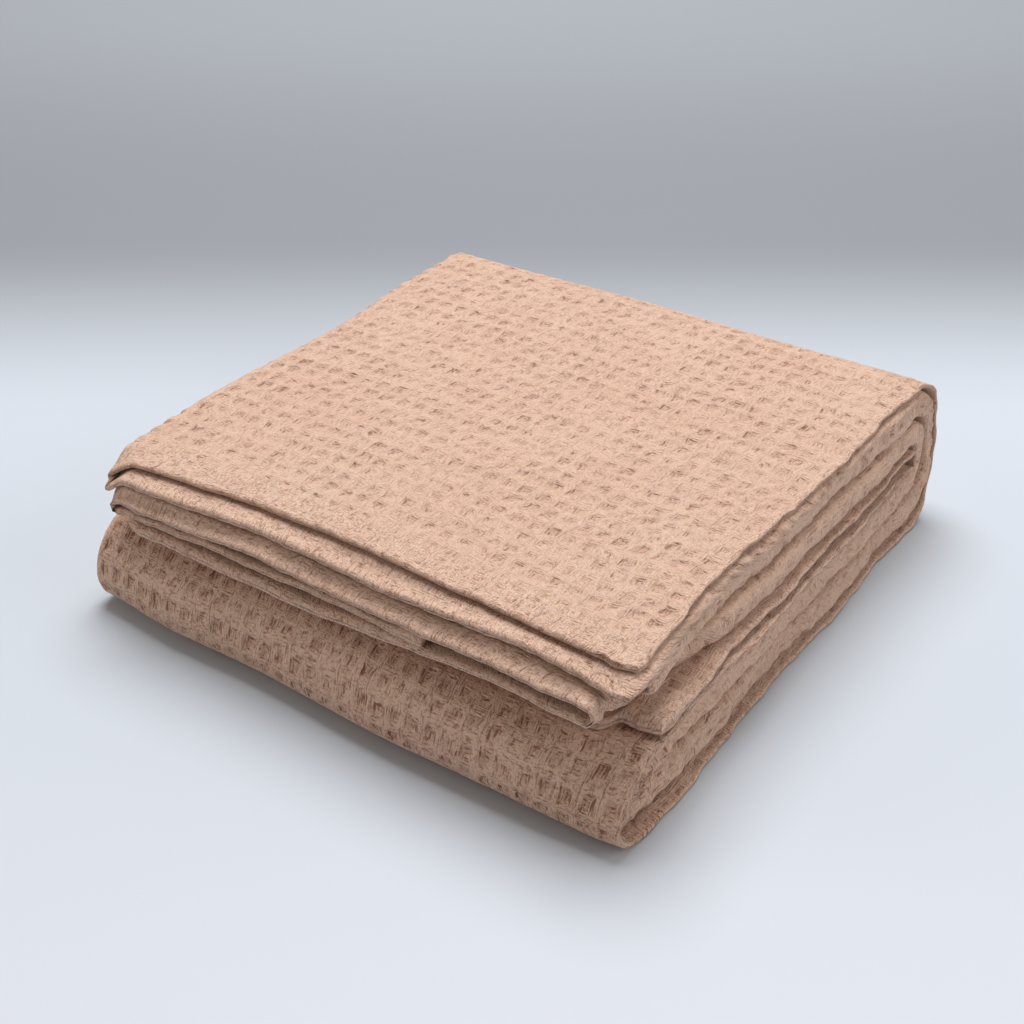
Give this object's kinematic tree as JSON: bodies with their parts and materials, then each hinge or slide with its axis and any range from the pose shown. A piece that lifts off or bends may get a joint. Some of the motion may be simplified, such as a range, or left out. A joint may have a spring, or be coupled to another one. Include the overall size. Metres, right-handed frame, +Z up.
{
  "type": "folded waffle weave cotton blanket",
  "caption": "Cotton blanket of waffle weave cloth with hemmed ends, folded lengthwise and then crosswise into a flat rectangular stack that lies on a surface.",
  "frame": {"origin": "centre of the folded stack's bounding box, at the level of the surface it rests on", "axes": "+Z up through the stack, -Y toward the side with the hemmed ends and the rounded main fold, +X toward the side that shows the edges of the layers, +Y toward the back fold"},
  "size_m": [0.3494, 0.382, 0.0979],
  "materials": {
    "cotton_waffle": "matt textured weave"
  },
  "bodies": {
    "root": {"blanket": "cotton_waffle"}
  },
  "joints": []
}
